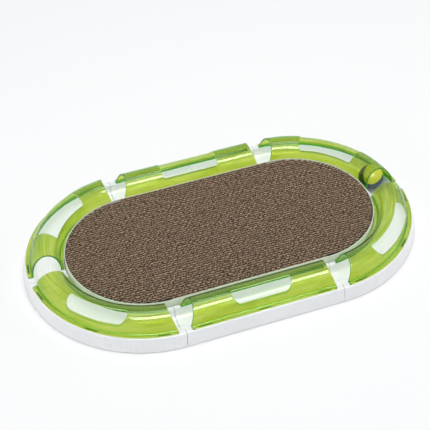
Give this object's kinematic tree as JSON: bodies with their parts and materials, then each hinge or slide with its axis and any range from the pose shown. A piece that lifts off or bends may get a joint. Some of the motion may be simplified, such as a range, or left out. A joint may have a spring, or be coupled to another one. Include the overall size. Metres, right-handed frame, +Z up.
{
  "type": "cat scratcher with ball track",
  "caption": "Oval floor scratcher: a corrugated cardboard pad ringed by a U-channel ball track under domed, windowed lift-off covers.",
  "frame": {"origin": "centre of the footprint, on the floor under the rubber feet", "axes": "+X along the long side towards the end where the ball stands, +Y from the front straight side to the back one, +Z up"},
  "size_m": [0.6, 0.36, 0.0529],
  "materials": {
    "white_plastic": "satin moulded",
    "green_translucent_plastic": "glossy, translucent",
    "corrugated_cardboard": "raw, flutes on edge",
    "pale_card_band": "matt",
    "lime_ball_plastic": "satin",
    "slate_ball_plastic": "satin",
    "grey_rubber": "matt"
  },
  "bodies": {
    "base_ring": {"base_curve_front_left": "white_plastic", "base_curve_front_right": "white_plastic", "base_curve_back_left": "white_plastic", "base_curve_back_right": "white_plastic", "base_straight_front": "white_plastic", "base_straight_back": "white_plastic", "rubber_foot_01": "grey_rubber", "rubber_foot_02": "grey_rubber", "rubber_foot_03": "grey_rubber", "rubber_foot_04": "grey_rubber", "rubber_foot_05": "grey_rubber", "rubber_foot_06": "grey_rubber", "rubber_foot_07": "grey_rubber", "rubber_foot_08": "grey_rubber", "rubber_foot_09": "grey_rubber", "rubber_foot_10": "grey_rubber", "rubber_foot_11": "grey_rubber", "rubber_foot_12": "grey_rubber"},
    "front_left_cover": {"cover_curve_front_left": "green_translucent_plastic"},
    "front_right_cover": {"cover_curve_front_right": "green_translucent_plastic"},
    "back_left_cover": {"cover_curve_back_left": "green_translucent_plastic"},
    "back_right_cover": {"cover_curve_back_right": "green_translucent_plastic"},
    "front_straight_cover": {"cover_straight_front": "green_translucent_plastic"},
    "back_straight_cover": {"cover_straight_back": "green_translucent_plastic"},
    "pad": {"scratch_pad": "corrugated_cardboard", "pad_edge_band": "pale_card_band"},
    "ball": {"ball_shell_lime": "lime_ball_plastic", "ball_shell_slate": "slate_ball_plastic"}
  },
  "joints": [
    {"name": "front_left_cover_lift", "type": "slide", "parent": "base_ring", "child": "front_left_cover", "axis": [0, 0, 1], "range_m": [0, 0.03]},
    {"name": "front_right_cover_lift", "type": "slide", "parent": "base_ring", "child": "front_right_cover", "axis": [0, 0, 1], "range_m": [0, 0.03]},
    {"name": "back_left_cover_lift", "type": "slide", "parent": "base_ring", "child": "back_left_cover", "axis": [0, 0, 1], "range_m": [0, 0.03]},
    {"name": "back_right_cover_lift", "type": "slide", "parent": "base_ring", "child": "back_right_cover", "axis": [0, 0, 1], "range_m": [0, 0.03]},
    {"name": "front_straight_cover_lift", "type": "slide", "parent": "base_ring", "child": "front_straight_cover", "axis": [0, 0, 1], "range_m": [0, 0.03]},
    {"name": "back_straight_cover_lift", "type": "slide", "parent": "base_ring", "child": "back_straight_cover", "axis": [0, 0, 1], "range_m": [0, 0.03]},
    {"name": "pad_lift", "type": "slide", "parent": "base_ring", "child": "pad", "axis": [0, 0, 1], "range_m": [0, 0.035]},
    {"name": "ball_run", "type": "hinge", "parent": "base_ring", "child": "ball", "pos_m": [0.12, 0, 0.0263], "axis": [0, 0, 1], "range_deg": [-102, 77]}
  ]
}
